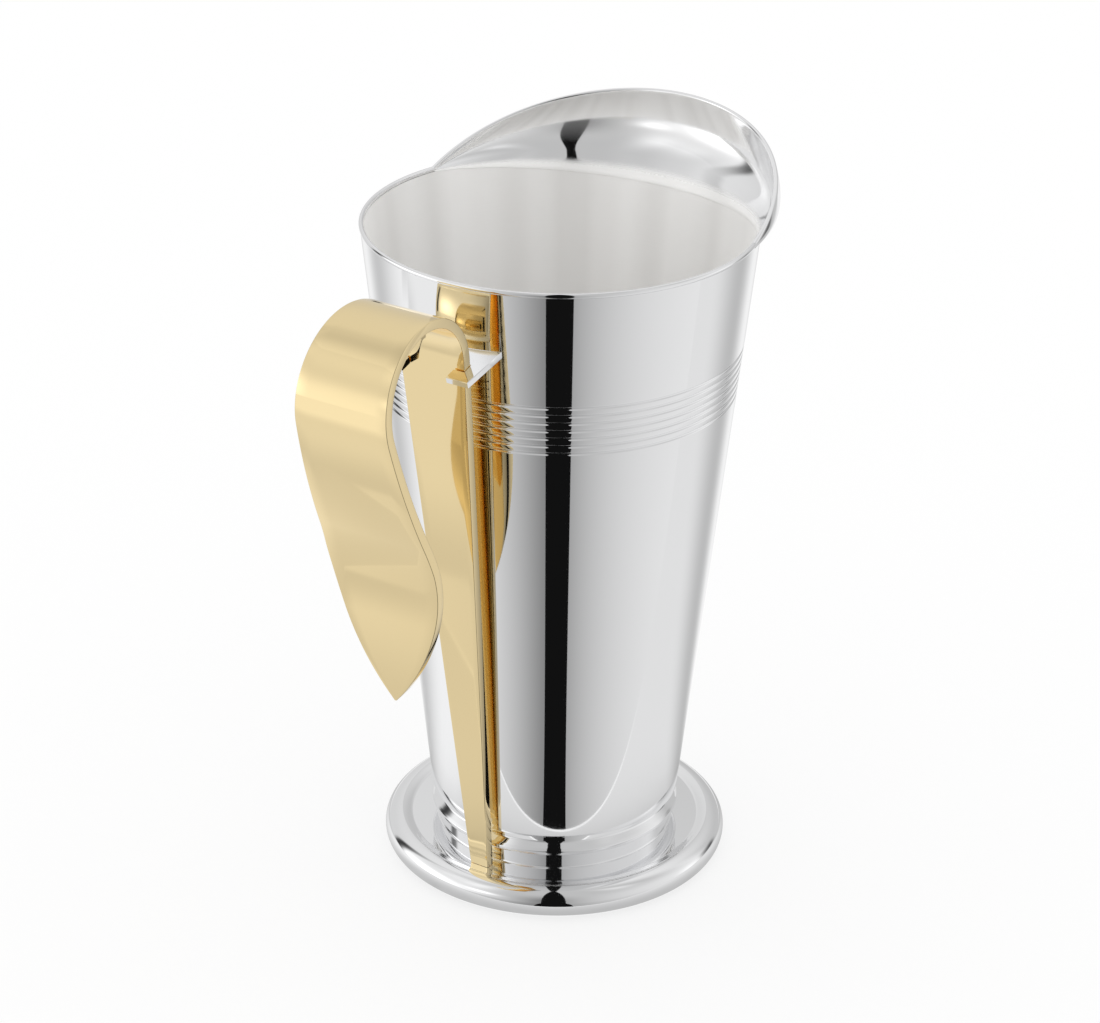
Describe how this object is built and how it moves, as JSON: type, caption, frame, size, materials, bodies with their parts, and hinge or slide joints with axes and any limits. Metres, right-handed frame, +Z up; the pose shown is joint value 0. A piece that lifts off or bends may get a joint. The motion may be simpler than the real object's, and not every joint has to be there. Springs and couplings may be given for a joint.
{
  "type": "water pitcher",
  "caption": "Tall tapered silver-plated water pitcher with a grooved band, raised scoop spout, round spun foot and a looped gold-plated leaf handle.",
  "frame": {"origin": "middle of the foot on the table", "axes": "+Z up from the table, +X towards the spout, handle towards -X"},
  "size_m": [0.1895, 0.1254, 0.2411],
  "materials": {
    "silver_plate": "mirror-polished silver plate",
    "silver_satin": "satin spun silver plate",
    "gold_plate": "mirror-polished gold plate",
    "brass": "turned brass"
  },
  "bodies": {
    "root": {"vessel_wall": "silver_plate", "vessel_bottom": "silver_satin", "rim_wire": "silver_plate", "spout": "silver_plate", "foot": "silver_plate", "handle_strip": "gold_plate", "handle_bracket": "silver_plate", "handle_washer": "silver_plate", "handle_nut": "brass"}
  },
  "joints": []
}
